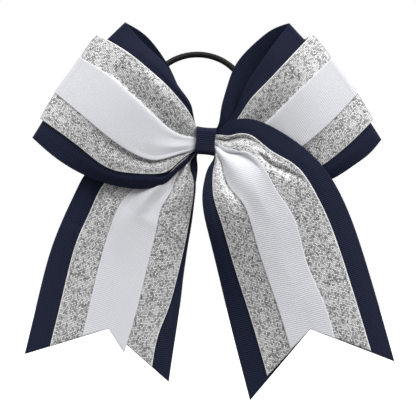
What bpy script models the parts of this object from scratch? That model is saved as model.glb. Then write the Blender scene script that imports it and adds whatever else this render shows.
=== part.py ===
"""Cheer hair bow: three layered ribbons tied into two loops and two tails, with a wrap and a hair tie.

The bow stands upright as it is worn: X runs across it, +Z is up and its front faces -Y. Left and right
are as seen from the front. The origin is the middle of the knot.

One stack of ribbons makes the whole bow. From the right tail it runs through the knot to the left
loop's front, round that fold, back through the knot to the right loop's back, round that fold, along
the right loop's front, and through the knot again into the left tail.
All lengths below are in millimetres, and MM turns them into metres.
"""

import math

import bmesh
import bpy
import numpy as np

MM = 0.001

# Ribbons: the navy one is the base, the silver one lies on it, and the white one on the silver one.
NAVY_WIDTH = 75.0
SILVER_WIDTH = 50.0
WHITE_WIDTH = 22.0
THICKNESS = 0.4
LAYER_STEP = 0.7  # from one ribbon's middle to the next, which leaves 0.3 of air between them
RAIL_SAMPLES = 240

# The three passes of the ribbon stack through the knot: the depth of each navy ribbon there.
FRONT_PASS_Y = -2.7
MIDDLE_PASS_Y = 0.6
REAR_PASS_Y = 2.3

# Lines along the ribbon, by their distance from its middle: its own edges and those of the ribbons on it.
EDGE_LINES = (
    -NAVY_WIDTH / 2,
    -SILVER_WIDTH / 2,
    -WHITE_WIDTH / 2,
    WHITE_WIDTH / 2,
    SILVER_WIDTH / 2,
    NAVY_WIDTH / 2,
)
COLUMNS = EDGE_LINES[:3] + (0.0,) + EDGE_LINES[3:]

# Loops. Each front has six rails in X and Z, from the wrap out to the fold, the lower edge first.
LEFT_LOOP_FRONT = (
    ((-5.2, -4.9), (-7.2, -6.6), (-14.5, -15), (-23.5, -22.6), (-42, -24.2), (-63, -17.6), (-89.8, 1.6)),
    ((-5.0, -3.7), (-14.2, -11), (-26.8, -17), (-46.3, -15.5), (-62.3, -5.4), (-84.5, 10.8)),
    ((-4.9, -2.2), (-20.5, -8.3), (-31.7, -9), (-46.3, -1.2), (-61.6, 11.3), (-76.6, 24)),
    ((-4.7, 1.4), (-14.2, 3.6), (-26.1, 12), (-47, 31.5), (-62.6, 42.2)),
    ((-4.5, 3.6), (-13.5, 20.6), (-28.9, 36.4), (-44.2, 48.3), (-52.2, 53.2)),
    ((-4.6, 4.5), (-6.3, 7.6), (-8.4, 17), (-14.6, 27.6), (-20.5, 40.6), (-30, 50.5), (-41.6, 61.5)),
)
RIGHT_LOOP_FRONT = (
    (
        (5.0, -4.9), (7.0, -6.6), (14, -15), (23, -22.5), (42, -24.4), (65.7, -19.7), (76.9, -12.7),
        (91.2, 0.6),
    ),
    ((5.0, -3.7), (14, -11), (27, -16.5), (46, -17.4), (65.7, -8.8), (75.5, -0.5), (86.4, 10.4)),
    ((5.1, -2.2), (20, -8.6), (34, -9.8), (50.4, -2.6), (67.1, 12), (77.6, 23.6)),
    ((5.2, 1.0), (16, 2.4), (31.3, 8.9), (42.1, 19.7), (53.2, 30.8), (64, 42)),
    ((5.3, 3.4), (17, 11.7), (23.2, 21.1), (30.9, 29.4), (42.1, 41.3), (52.4, 52.8)),
    ((5.4, 4.6), (11.4, 9.9), (17, 19), (21.2, 28.8), (28.1, 39.9), (35.1, 49.7), (43.3, 61.1)),
)
# Arch of a loop's back, in the same order as the rails. It leaves the wrap and reaches the fold where
# the front does, and rises between them, or sags where the number is below 0.
LEFT_BACK_BOW = (-15.0, -11.0, -6.0, 0.0, 4.0, 7.0)
RIGHT_BACK_BOW = (-15.0, -11.0, -6.0, 1.0, 6.0, 11.0)
BACK_BOW_SKEW = 1.3  # above 1, the arch is highest nearer to the fold
# Depth of a loop's layers: (share of the way from wrap to fold, Y) of the ribbon's middle.
LEFT_FRONT_DEPTH = ((0, FRONT_PASS_Y), (0.15, -7.5), (0.42, -13.5), (0.72, -12), (0.93, -8.2))
RIGHT_FRONT_DEPTH = ((0, MIDDLE_PASS_Y), (0.15, -1.6), (0.42, -7.4), (0.72, -9.4), (0.93, -8.2))
BACK_DEPTH = ((0, REAR_PASS_Y), (0.15, 3.6), (0.42, 6.6), (0.72, 6.2), (0.93, 2.2))
FOLD_Y = -3.0
FOLD_RADIUS = 5.2
FOLD_START = 0.93  # share of the way at which the fold begins
EDGE_CURL = 5.0  # how far the edges of a loop's front curl towards its inside
BACK_EDGE_CURL = 2.0
CURL_POWER = 2.5  # a higher power keeps the curl nearer to the edges
LOOP_LAYER_ROWS = 10
ROW_CROWDING = 1.15  # above 1, the rows lie closer together near the wrap
FOLD_ROWS = 5

# Tails: six rails in X and Z from the wrap down to the notched end, the inner edge first.
LEFT_TAIL = (
    (
        (-5.2, -4.9), (-6.8, -7.4), (-5.6, -12), (-4.6, -19), (-6, -30), (-10.2, -51), (-12.4, -77.9),
        (-19, -125),
    ),
    ((-5.0, -3.7), (-7.4, -8.4), (-7.6, -14), (-6.4, -24), (-8.4, -37), (-13.9, -65.9), (-27.8, -117.3)),
    ((-4.9, -2.2), (-10, -10.4), (-15.7, -19.2), (-25.5, -44.2), (-35.7, -87.7), (-42.2, -108.5)),
    ((-4.7, 0.4), (-15, -7.4), (-28, -15.6), (-38.6, -26), (-48.4, -41.2), (-57.4, -73.4), (-63.8, -101)),
    ((-4.6, 2.2), (-20, -3.6), (-40, -12), (-53.8, -24.2), (-64.9, -47.2), (-74.6, -81.7), (-80.7, -106.7)),
    ((-4.5, 3.6), (-25, 0.6), (-48, -7.4), (-63.6, -19), (-71.7, -35.2), (-80.7, -57.7), (-93.8, -110.6)),
)
RIGHT_TAIL = (
    (
        (5.2, -4.9), (5.9, -7.6), (4.6, -11.5), (1.6, -18), (-0.9, -31.2), (3.3, -56.9), (11.5, -89.2),
        (23.1, -134.5),
    ),
    ((5.2, -3.7), (6.4, -9), (5.0, -18.4), (4.9, -29.7), (13.7, -59.2), (22, -86.9), (32.1, -121.8)),
    ((5.2, -2.2), (10.4, -14.6), (21.2, -35.9), (31.7, -65.9), (43.9, -106.7)),
    ((5.3, 0.4), (17, -6), (30.9, -12.3), (42.2, -32.2), (52.7, -52.5), (66.8, -101.8)),
    ((5.3, 2.4), (17, 3.7), (29.5, -1.6), (47.6, -13.7), (61.2, -35.9), (72.2, -65.2), (85.7, -109)),
    (
        (5.4, 4.4), (17, 11.5), (30.9, 8.9), (49, -2.2), (60.8, -13.4), (69.9, -27.7), (82, -59.2),
        (97.9, -114.3),
    ),
)
LEFT_NOTCH = (-50.3, -97.4)
RIGHT_NOTCH = (54.3, -97.4)
# Depth of a tail's ribbons: (share of the way, Y), above its bend line and below it.
LEFT_SHOULDER_DEPTH = ((0, MIDDLE_PASS_Y), (0.3, -0.6), (0.7, -1.2), (1, -1.4))
LEFT_BLADE_DEPTH = ((0, -1.4), (0.4, -1.8), (0.75, -3.4), (1, -5.0))
RIGHT_SHOULDER_DEPTH = ((0, FRONT_PASS_Y), (0.2, -9.5), (0.5, -15.5), (0.8, -15.6), (1, -14.6))
RIGHT_BLADE_DEPTH = ((0, -14.6), (0.35, -12.4), (0.7, -10.2), (1, -9.0))
BEND_Z = -27.0  # a tail swings about this line, just below the loops
BEND_GAP = 2.4  # left open along that line between the two rigid halves of a ribbon
SHOULDER_ROWS = 8
BLADE_ROWS = 9

# Centre wrap: one turn of narrow ribbon. Its end laps over its own start at the back, with glue between.
WRAP_WIDTH = 10.2
WRAP_THICKNESS = 0.6
WRAP_LEAN = math.radians(4.8)
WRAP_CORNERS = (
    (9.0, -3.2), (9.0, 6.9), (-7.7, 6.9), (-7.7, -6.9), (10.6, -6.9), (10.6, 4.2),
)  # Y and Z of the middle of its thickness
WRAP_CORNER_RADIUS = 2.3
GLUE_SIZE = (8.0, 0.4, 6.0)
GLUE_AT = (0.0, 9.8, 0.6)

# Pleated core: the three passes of the ribbon stack, squeezed together and tied round with thread.
CORE_LENGTH = 6.6
CORE_HEIGHT = 9.8
CORE_PASSES = {"front": (-5.4, -1.9), "middle": (-1.6, 1.2), "rear": (1.5, 3.9)}
THREAD_RADIUS = 0.3
THREAD_TURNS = 4
THREAD_PITCH = 0.9
THREAD_ROOM = 0.3  # between the thread and the core
THREAD_CORNER_RADIUS = 0.7
THREAD_STEPS = 24

# Hair tie: a ring of elastic cord that leans back and passes through the wrap behind the ribbons.
TIE_RADIUS = 1.6
TIE_Y = 6.5
TIE_Z = -2.9
TIE_LEAN = math.radians(22)
TIE_RING_RADIUS = 26.0
TIE_RING_CENTRE = (-4.0, 26.5)  # X, and height up the leaning plane from the hinge line
TIE_ARC = (-50, 230)  # degrees round the ring that stay on its circle
TIE_ARC_POINTS = 21
TIE_STRAIGHT = 5.6  # half of the straight stretch inside the wrap
TIE_JOIN_ANGLE = 196  # degrees round the ring
TIE_JOIN_LENGTH = 9.0
TIE_JOIN_RADIUS = 2.1
TIE_END_GAP = 0.3  # between the cord's ends and the join
TIE_POINTS = 64
TIE_JOIN_POINTS = 7
TIE_SAMPLES = 720

# Pivots of the loops and the tails. A tail swings on its middle ribbon line.
LOOP_PIVOT_X = 4.4
LEFT_TAIL_PIVOT = (-36.0, LEFT_BLADE_DEPTH[0][1], BEND_Z)
RIGHT_TAIL_PIVOT = (34.0, RIGHT_BLADE_DEPTH[0][1], BEND_Z)

# Colours.
NAVY = (0.014, 0.019, 0.048, 1.0)
SILVER = (0.50, 0.50, 0.51, 1.0)
WHITE = (0.78, 0.79, 0.81, 1.0)
BLACK = (0.010, 0.010, 0.011, 1.0)
GLUE = (0.72, 0.70, 0.62, 1.0)


def natural_spline(knots, values, wanted):
    """Cubic curve through the values at the knots, with no bending at its two ends."""
    knots = np.asarray(knots, float)
    values = np.asarray(values, float).reshape(len(knots), -1)
    step = np.diff(knots)[:, None]
    slope = np.diff(values, axis=0) / step
    matrix = np.eye(len(knots))
    right = np.zeros_like(values)
    for i in range(1, len(knots) - 1):
        before = step[i - 1, 0]
        after = step[i, 0]
        matrix[i, i - 1 : i + 2] = (before, 2 * (before + after), after)
        right[i] = 6 * (slope[i] - slope[i - 1])
    bend = np.linalg.solve(matrix, right)
    wanted = np.asarray(wanted, float)
    place = np.clip(np.searchsorted(knots, wanted, side="right") - 1, 0, len(knots) - 2)
    width = step[place]
    b = (wanted - knots[place])[:, None] / width
    a = 1 - b
    curved = (a**3 - a) * bend[place] + (b**3 - b) * bend[place + 1]
    return a * values[place] + b * values[place + 1] + curved * width**2 / 6


def travelled(points):
    """Length walked along a line of points, at each of them."""
    return np.concatenate(([0.0], np.cumsum(np.linalg.norm(np.diff(points, axis=0), axis=1))))


def smooth_rail(points):
    """Evenly spaced points on the smooth curve through a rail's own points."""
    points = np.array(points, float)
    walked = travelled(points)
    curve = natural_spline(walked, points, np.linspace(0, walked[-1], RAIL_SAMPLES))
    walked = travelled(curve)
    even = np.linspace(0, walked[-1], RAIL_SAMPLES)
    return np.column_stack([np.interp(even, walked, curve[:, axis]) for axis in range(2)])


def along(rail, share):
    """The rail's points at the given shares of its length."""
    place = np.linspace(0, 1, len(rail))
    return np.column_stack([np.interp(share, place, rail[:, axis]) for axis in range(2)])


def bowed_rail(start, end, bow):
    """A chord from start to end with an arch of height bow, on the chord's upper side."""
    start = np.array(start, float)
    chord = np.array(end, float) - start
    upward = np.array([-chord[1], chord[0]]) / np.linalg.norm(chord)
    upward *= math.copysign(1, upward[1])
    share = np.linspace(0, 1, RAIL_SAMPLES)[:, None]
    return start + chord * share + upward * bow * np.sin(math.pi * share**BACK_BOW_SKEW)


def depth_at(stations, share):
    """Y at the given shares of a stretch, on the smooth curve through its stations."""
    knots, values = zip(*stations)
    return natural_spline(knots, values, share)[:, 0]


def across(rails, columns):
    """Spread rails[row, line] over the ribbon's columns with a smooth curve across each row."""
    return np.stack([natural_spline(EDGE_LINES, row, columns) for row in rails])


def curl(columns):
    """How much of the edge curl each column takes: none in the middle, all of it at both edges."""
    return np.abs(np.array(columns) / (NAVY_WIDTH / 2)) ** CURL_POWER


def loop_surface(front, bows, front_depth):
    """Navy ribbon of one loop, as points[row, column]: its front, the round fold and its back."""
    fronts = [smooth_rail(points) for points in front]
    backs = [bowed_rail(rail[0], rail[-1], bow) for rail, bow in zip(fronts, bows)]
    reach = np.array([np.linalg.norm(rail[-1] - rail[0]) for rail in fronts])
    stop = 1 - FOLD_RADIUS / reach
    share = np.linspace(0, 1, LOOP_LAYER_ROWS) ** ROW_CROWDING
    turn = np.linspace(0, math.pi, FOLD_ROWS + 2)[1:-1]

    flat_front = np.stack([along(r, share * s) for r, s in zip(fronts, stop)], axis=1)
    flat_back = np.stack([along(r, share * s) for r, s in zip(backs, stop)], axis=1)[::-1]
    rounding = [s + (1 - s) * np.sin(turn) for s in stop]
    first_half = np.stack([along(r, place) for r, place in zip(fronts, rounding)], axis=1)
    second_half = np.stack([along(r, place) for r, place in zip(backs, rounding)], axis=1)
    to_back = (turn / math.pi)[:, None, None]
    flat_fold = first_half * (1 - to_back) + second_half * to_back
    plane = across(np.concatenate([flat_front, flat_fold, flat_back]), COLUMNS)

    curling = np.sin(math.pi * share)[:, None] * curl(COLUMNS)
    front_y = depth_at(front_depth, share * FOLD_START)[:, None] + EDGE_CURL * curling
    back_y = depth_at(BACK_DEPTH, share * FOLD_START)[:, None] - BACK_EDGE_CURL * curling
    fold_y = (FOLD_Y - FOLD_RADIUS * np.cos(turn))[:, None] + 0 * curl(COLUMNS)
    depth = np.concatenate([front_y, fold_y, back_y[::-1]])
    return np.dstack([plane[..., 0], depth, plane[..., 1]])


def tail_surfaces(rails, notch, shoulder_depth, blade_depth):
    """Navy ribbon of one tail, above and below its bend line, each as points[row, column]."""
    curves = [smooth_rail(points) for points in rails]
    bends = []
    for curve in curves:
        below = int(np.argmax(curve[:, 1] < BEND_Z))
        bends.append(below / (len(curve) - 1))
    lengths = [travelled(curve)[-1] for curve in curves]
    margin = [BEND_GAP / 2 / length for length in lengths]

    share = np.linspace(0, 1, SHOULDER_ROWS)
    flat = np.stack([along(c, share * (b - m)) for c, b, m in zip(curves, bends, margin)], axis=1)
    plane = across(flat, COLUMNS)
    depth = depth_at(shoulder_depth, share)[:, None] + 0 * curl(COLUMNS)
    shoulder = np.dstack([plane[..., 0], depth, plane[..., 1]])

    share = np.linspace(0, 1, BLADE_ROWS)
    starts = [b + m for b, m in zip(bends, margin)]
    flat = np.stack([along(c, s + share * (1 - s)) for c, s in zip(curves, starts)], axis=1)
    plane = across(flat, COLUMNS)
    middle = COLUMNS.index(0.0)
    to_notch = np.array(notch) - plane[-1, middle]
    plane[:, middle] += to_notch * (share**2)[:, None]
    depth = depth_at(blade_depth, share)[:, None] + 0 * curl(COLUMNS)
    blade = np.dstack([plane[..., 0], depth, plane[..., 1]])
    return shoulder, blade


def face_normals(points, side):
    """Unit normal at each grid point, on the face that carries the silver and white ribbons."""
    down = np.gradient(points, axis=0)
    over = np.gradient(points, axis=1)
    normal = np.cross(down, over) * side
    return normal / np.linalg.norm(normal, axis=2, keepdims=True)


def make_material(name, colour, roughness, metallic=0.0):
    material = bpy.data.materials.new(name)
    material.use_nodes = True
    shader = material.node_tree.nodes["Principled BSDF"]
    shader.inputs["Base Color"].default_value = colour
    shader.inputs["Roughness"].default_value = roughness
    shader.inputs["Metallic"].default_value = metallic
    material.diffuse_color = colour
    return material


def add_object(name, data, material, pivot=None):
    """Put an object in the bow's collection, hung on its pivot if it has one."""
    piece = bpy.data.objects.new(name, data)
    data.materials.append(material)
    bow.objects.link(piece)
    piece.parent = pivot
    return piece


def add_pivot(name, place):
    """An empty on a joint's axis, which its moving pieces hang on. Place is in millimetres."""
    pivot = bpy.data.objects.new(name, None)
    pivot.location = [value * MM for value in place]
    bow.objects.link(pivot)
    return pivot


def origin_of(pivot):
    return np.array(pivot.location) if pivot else np.zeros(3)


def ribbon(name, points, normals, width, layer, material, pivot=None):
    """One ribbon of a stack: the columns within its width, lifted to its layer and given its thickness."""
    inside = [i for i, column in enumerate(COLUMNS) if abs(column) <= width / 2]
    lifted = (points + normals * layer * LAYER_STEP)[:, inside]
    rows, columns = lifted.shape[:2]
    mesh = bpy.data.meshes.new(name)
    shape = bmesh.new()
    bmesh.ops.create_grid(shape, x_segments=columns - 1, y_segments=rows - 1, size=1)
    shape.to_mesh(mesh)
    shape.free()
    mesh.vertices.foreach_set("co", (lifted * MM - origin_of(pivot)).ravel())
    piece = add_object(name, mesh, material, pivot)
    wall = piece.modifiers.new("thickness", "SOLIDIFY")
    wall.thickness = THICKNESS * MM
    wall.offset = 0
    mesh.shade_smooth()
    return piece


def ribbon_stack(stretch, points, side, pivot=None):
    """The navy, silver and white ribbons of one stretch of the bow."""
    normals = face_normals(points, side)
    ribbon(f"{stretch}_navy", points, normals, NAVY_WIDTH, 0, navy, pivot)
    ribbon(f"{stretch}_silver", points, normals, SILVER_WIDTH, 1, silver, pivot)
    ribbon(f"{stretch}_white", points, normals, WHITE_WIDTH, 2, white, pivot)


def rounded_path(corners, radius, closed=False, steps=5):
    """A line through the corners with an arc of the given radius at each of its inner corners."""
    corners = np.array(corners, float)
    count = len(corners)
    path = []
    for i, corner in enumerate(corners):
        if not closed and i in (0, count - 1):
            path.append(corner)
            continue
        before = corners[i - 1] - corner
        after = corners[(i + 1) % count] - corner
        before /= np.linalg.norm(before)
        after /= np.linalg.norm(after)
        middle = corner + (before + after) * radius
        for angle in np.linspace(0, math.pi / 2, steps):
            path.append(middle - after * radius * math.cos(angle) - before * radius * math.sin(angle))
    return np.array(path)


def centre_wrap():
    """A strip that goes once round the knot and laps over its own start."""
    path = rounded_path(WRAP_CORNERS, WRAP_CORNER_RADIUS)
    mesh = bpy.data.meshes.new("centre_wrap")
    shape = bmesh.new()
    bmesh.ops.create_grid(shape, x_segments=1, y_segments=len(path) - 1, size=1)
    shape.to_mesh(mesh)
    shape.free()
    points = np.zeros((len(path), 2, 3))
    points[:, 0, 0] = -WRAP_WIDTH / 2
    points[:, 1, 0] = WRAP_WIDTH / 2
    points[:, :, 1:] = path[:, None]
    mesh.vertices.foreach_set("co", (points * MM).ravel())
    piece = add_object("centre_wrap", mesh, navy)
    piece.rotation_euler = (0, WRAP_LEAN, 0)
    wall = piece.modifiers.new("thickness", "SOLIDIFY")
    wall.thickness = WRAP_THICKNESS * MM
    wall.offset = 0
    wall.use_even_offset = True


def block(name, size, centre, material, rounding=0.0):
    """A box of the given size, with its long edges rounded."""
    mesh = bpy.data.meshes.new(name)
    shape = bmesh.new()
    bmesh.ops.create_cube(shape, size=1)
    bmesh.ops.scale(shape, vec=[value * MM for value in size], verts=shape.verts)
    shape.to_mesh(mesh)
    shape.free()
    piece = add_object(name, mesh, material)
    piece.location = [value * MM for value in centre]
    if rounding:
        bevel = piece.modifiers.new("rounding", "BEVEL")
        bevel.width = rounding * MM
        bevel.segments = 2


def pleated_core():
    """The ribbon stacks inside the wrap, one squeezed block for each pass through the knot."""
    for name, (front, back) in CORE_PASSES.items():
        size = (CORE_LENGTH, back - front, CORE_HEIGHT)
        block(f"core_{name}_pass", size, (0, (front + back) / 2, 0), navy, rounding=0.4)


def tube(name, points, radius, material, pivot=None, resolution=2):
    """A cord: a polyline curve with a round bevel and filled caps. Points are in millimetres."""
    data = bpy.data.curves.new(name, "CURVE")
    data.dimensions = "3D"
    data.bevel_depth = radius * MM
    data.bevel_resolution = resolution
    data.use_fill_caps = True
    spline = data.splines.new("POLY")
    spline.points.add(len(points) - 1)
    local = np.array(points) * MM - origin_of(pivot)
    spline.points.foreach_set("co", np.column_stack([local, np.ones(len(local))]).ravel())
    return add_object(name, data, material, pivot)


def cinch_thread():
    """Thread wound round the core: a rounded rectangle that climbs one pitch along X in each turn."""
    front = min(low for low, _ in CORE_PASSES.values())
    back = max(high for _, high in CORE_PASSES.values())
    room = THREAD_ROOM + THREAD_RADIUS
    corners = (
        (front - room, -CORE_HEIGHT / 2 - room),
        (front - room, CORE_HEIGHT / 2 + room),
        (back + room, CORE_HEIGHT / 2 + room),
        (back + room, -CORE_HEIGHT / 2 - room),
    )
    outline = rounded_path(corners, THREAD_CORNER_RADIUS, closed=True, steps=4)
    ring = np.vstack([outline, outline[:1]])
    walked = travelled(ring)
    even = np.linspace(0, walked[-1], THREAD_STEPS, endpoint=False)
    stops = np.unique(np.concatenate([even, walked[:-1]]))
    turn = np.column_stack([np.interp(stops, walked, ring[:, axis]) for axis in range(2)])
    share = stops / walked[-1]
    points = []
    for number in range(THREAD_TURNS):
        x = (number + share - THREAD_TURNS / 2) * THREAD_PITCH
        points.append(np.column_stack([x, turn]))
    tube("cinch_thread", np.vstack(points), THREAD_RADIUS, white, resolution=1)


def on_tie_circle(angle):
    """X, and height up the tie's leaning plane, of the points at the given angles round its circle."""
    return np.column_stack([np.cos(angle), np.sin(angle)]) * TIE_RING_RADIUS + TIE_RING_CENTRE


def tie_centre_line():
    """The hair tie's closed centre line, from the middle of its join: a circle, straight in the wrap."""
    circle = on_tie_circle(np.radians(np.linspace(*TIE_ARC, TIE_ARC_POINTS)))
    straight = np.array([(-1, 0.1), (0, 0), (0, 0), (0, 0), (1, 0.1)])
    straight[:, 0] += np.array([-1, -1, 0, 1, 1]) * TIE_STRAIGHT
    loop = np.vstack([circle, straight])
    wrapped = np.vstack([loop[-3:], loop, loop[:4]])
    walked = travelled(wrapped)
    dense = np.linspace(walked[3], walked[3 + len(loop)], TIE_SAMPLES, endpoint=False)
    curve = natural_spline(walked, wrapped, dense)
    join = on_tie_circle(np.radians([TIE_JOIN_ANGLE]))
    curve = np.roll(curve, -int(np.argmin(np.linalg.norm(curve - join, axis=1))), axis=0)
    curve = np.vstack([curve, curve[:1]])
    y = TIE_Y + curve[:, 1] * math.sin(TIE_LEAN)
    z = TIE_Z + curve[:, 1] * math.cos(TIE_LEAN)
    return np.column_stack([curve[:, 0], y, z])


def hair_tie(pivot):
    """An elastic cord round the ring, and the join that holds its two ends together."""
    line = tie_centre_line()
    walked = travelled(line)
    total = walked[-1]
    half = TIE_JOIN_LENGTH / 2
    end = half + TIE_END_GAP
    cord = np.linspace(end, total - end, TIE_POINTS)
    join = np.linspace(-half, half, TIE_JOIN_POINTS) % total
    for name, stops, radius in (
        ("hair_tie_cord", cord, TIE_RADIUS),
        ("hair_tie_join", join, TIE_JOIN_RADIUS),
    ):
        points = np.column_stack([np.interp(stops, walked, line[:, axis]) for axis in range(3)])
        tube(name, points, radius, black, pivot)


def build():
    left_loop = add_pivot("left_loop_pivot", (-LOOP_PIVOT_X, 0, 0))
    right_loop = add_pivot("right_loop_pivot", (LOOP_PIVOT_X, 0, 0))
    left_tail = add_pivot("left_tail_pivot", LEFT_TAIL_PIVOT)
    right_tail = add_pivot("right_tail_pivot", RIGHT_TAIL_PIVOT)
    tie = add_pivot("hair_tie_pivot", (0, TIE_Y, TIE_Z))

    points = loop_surface(LEFT_LOOP_FRONT, LEFT_BACK_BOW, LEFT_FRONT_DEPTH)
    ribbon_stack("left_loop", points, -1, left_loop)
    points = loop_surface(RIGHT_LOOP_FRONT, RIGHT_BACK_BOW, RIGHT_FRONT_DEPTH)
    ribbon_stack("right_loop", points, 1, right_loop)
    shoulder, blade = tail_surfaces(LEFT_TAIL, LEFT_NOTCH, LEFT_SHOULDER_DEPTH, LEFT_BLADE_DEPTH)
    ribbon_stack("left_shoulder", shoulder, -1)
    ribbon_stack("left_tail", blade, -1, left_tail)
    shoulder, blade = tail_surfaces(RIGHT_TAIL, RIGHT_NOTCH, RIGHT_SHOULDER_DEPTH, RIGHT_BLADE_DEPTH)
    ribbon_stack("right_shoulder", shoulder, 1)
    ribbon_stack("right_tail", blade, 1, right_tail)
    centre_wrap()
    block("wrap_glue", GLUE_SIZE, GLUE_AT, glue)
    pleated_core()
    cinch_thread()
    hair_tie(tie)


for old in list(bpy.data.objects):
    bpy.data.objects.remove(old, do_unlink=True)
bow = bpy.data.collections.new("cheer_hair_bow")
bpy.context.scene.collection.children.link(bow)
navy = make_material("navy_grosgrain", NAVY, 0.8)
silver = make_material("silver_weave", SILVER, 0.35, metallic=0.8)
white = make_material("white_grosgrain", WHITE, 0.75)
black = make_material("black_elastic", BLACK, 0.7)
glue = make_material("clear_glue", GLUE, 0.4)
build()
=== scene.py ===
"""Cheer hair bow: its three layered ribbons, centre wrap and hair tie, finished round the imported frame.

Each ribbon is one sheet worked out on a grid. Its rails are tables of measured outline points that say
where the edges of the three ribbons run. Its depth comes from how it bulges, curls and is pleated.
The front of the bow faces -Y. Tables of shapes are in millimetres, and MM turns them into metres.
"""

import math

import bpy
import numpy as np
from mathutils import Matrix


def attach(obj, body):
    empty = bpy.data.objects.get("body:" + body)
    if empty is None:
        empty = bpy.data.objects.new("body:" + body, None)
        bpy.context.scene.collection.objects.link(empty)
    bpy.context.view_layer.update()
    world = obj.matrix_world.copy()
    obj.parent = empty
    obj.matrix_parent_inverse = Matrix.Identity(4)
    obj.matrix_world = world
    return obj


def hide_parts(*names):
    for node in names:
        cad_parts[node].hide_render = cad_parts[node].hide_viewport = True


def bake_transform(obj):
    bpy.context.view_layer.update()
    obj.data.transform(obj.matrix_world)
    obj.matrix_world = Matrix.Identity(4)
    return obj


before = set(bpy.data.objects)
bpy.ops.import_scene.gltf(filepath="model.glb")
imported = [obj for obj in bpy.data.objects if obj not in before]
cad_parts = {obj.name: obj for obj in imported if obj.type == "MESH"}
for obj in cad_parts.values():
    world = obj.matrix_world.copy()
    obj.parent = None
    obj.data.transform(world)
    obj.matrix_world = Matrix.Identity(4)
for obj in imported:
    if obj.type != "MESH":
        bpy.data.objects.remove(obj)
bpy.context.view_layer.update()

MM = 0.001

# ---------------------------------------------------------------- ribbon sizes
NAVY_WIDTH = 75.0
SILVER_WIDTH = 50.0
WHITE_WIDTH = 22.0
WRAP_WIDTH = 10.2
CLOTH = 0.34  # thickness of each ribbon
LAYER_STEP = 0.5  # from one ribbon's middle to that of the next one
CELL = 0.8  # grid spacing along the ribbons
COLUMN = 0.5  # and across them
EDGE_LINES = (-37.5, -25.0, -11.0, 11.0, 25.0, 37.5)  # edges of the three ribbons, from the navy one's middle

# ---------------------------------------------------------------- rails, X and Z
# Six rails for each stretch of the ribbons, in the order of EDGE_LINES, from inside the wrap outwards.
LEFT_LOOP_FRONT = (
    ((-3.4, -4.8), (-5.7, -6.9), (-9, -11.4), (-14.2, -15.6), (-18, -19.8), (-23.3, -23.1), (-31.7, -24.8),
     (-44.2, -23.8), (-63, -17.6), (-79, -7.8), (-89.8, 1.6)),
    ((-3.4, -3.8), (-6, -5.2), (-14.2, -11.2), (-20, -15.9), (-26.8, -17.2), (-37.2, -16.8), (-46.3, -15.5),
     (-53.9, -12.0), (-62.3, -5.4), (-79, 7.0), (-84.2, 10.6)),
    ((-3.4, -3), (-6.2, -4), (-12.8, -6.1), (-20.5, -8.8), (-26.8, -9.9), (-31.7, -9), (-38.6, -5.9),
     (-46.3, -1), (-61.6, 11.4), (-75.9, 23.2)),
    ((-3.4, 1.2), (-5.9, 1.6), (-14.2, 3.5), (-19.8, 6.6), (-26.1, 12.2), (-40, 25.3), (-47, 31.5),
     (-61.6, 41.6)),
    ((-3.4, 3.6), (-5.1, 6.8), (-7.2, 12), (-13.5, 21.1), (-20.5, 28.8), (-28.9, 36.4), (-37.2, 43.4),
     (-44.2, 48.3), (-50.8, 52.7)),
    ((-3.4, 4.6), (-5.5, 7.6), (-6.5, 12.4), (-7.3, 17.8), (-10, 22.8), (-14.3, 28.6), (-20.7, 39.6),
     (-27.9, 46.6), (-34.4, 53), (-41.6, 61.5)),
)
LEFT_LOOP_BACK_TOP = (
    (-3.4, 4.6), (-5.4, 7.4), (-6.7, 12), (-7.5, 18), (-10.2, 22.6), (-14, 28.4), (-18.4, 37.8),
     (-21, 42.2),
    (-26, 49.4), (-31.8, 55.6), (-41.6, 61.6),
)
RIGHT_LOOP_FRONT = (
    ((3.4, -4.8), (6, -7), (14, -15), (23, -22.5), (42, -24.4), (65.7, -19.7), (76.9, -12.7), (85.2, -6.4),
     (91.2, 0.6)),
    ((3.4, -3.6), (14, -11), (27, -16.5), (46, -17.4), (60.2, -12.7), (65.7, -8.8), (75.5, -0.5),
     (85.6, 9.4)),
    ((3.4, -2), (20, -8.6), (34, -9.8), (50.4, -2.6), (57.4, 3), (67.1, 12), (76.8, 22.2)),
    ((3.4, 0.8), (16, 2), (24, 4), (31.3, 8.9), (42.1, 19.7), (53.2, 30.8), (63, 40.6)),
    ((3.4, 2.6), (10, 5.2), (17, 11.7), (23.2, 21.1), (30.9, 29.4), (42.1, 41.3), (51.8, 52)),
    ((3.4, 4), (5.8, 5.4), (11.4, 9.9), (17, 19), (21.2, 28.8), (28.1, 39.9), (35.1, 49.7), (43.4, 60.9)),
)
RIGHT_LOOP_BACK_TOP = (
    (3.4, 4.4), (5.7, 6.8), (7.9, 15.5), (10.7, 26.7), (15.9, 40.2), (20, 45.6), (26.7, 52.1), (35.1, 58.3),
    (43.4, 61.3),
)
# Where the silver and white ribbons reach further out than the navy one at the folds, at their four edges.
LEFT_FOLD_REACH = ((-85.3, 11.3), (-77.6, 24.5), (-64.4, 43.0), (-55.6, 54.7))
RIGHT_FOLD_REACH = ((86.6, 10.5), (78.5, 24.2), (65.0, 42.6), (54.9, 54.9))
BACK_BOW = (-15.0, -11.0, -6.0, 1.0, 6.0)  # sag or arch of a loop's back, at the lower five rails
BACK_BOW_SKEW = 1.3  # above 1, the sag lies further out from the wrap

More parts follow.
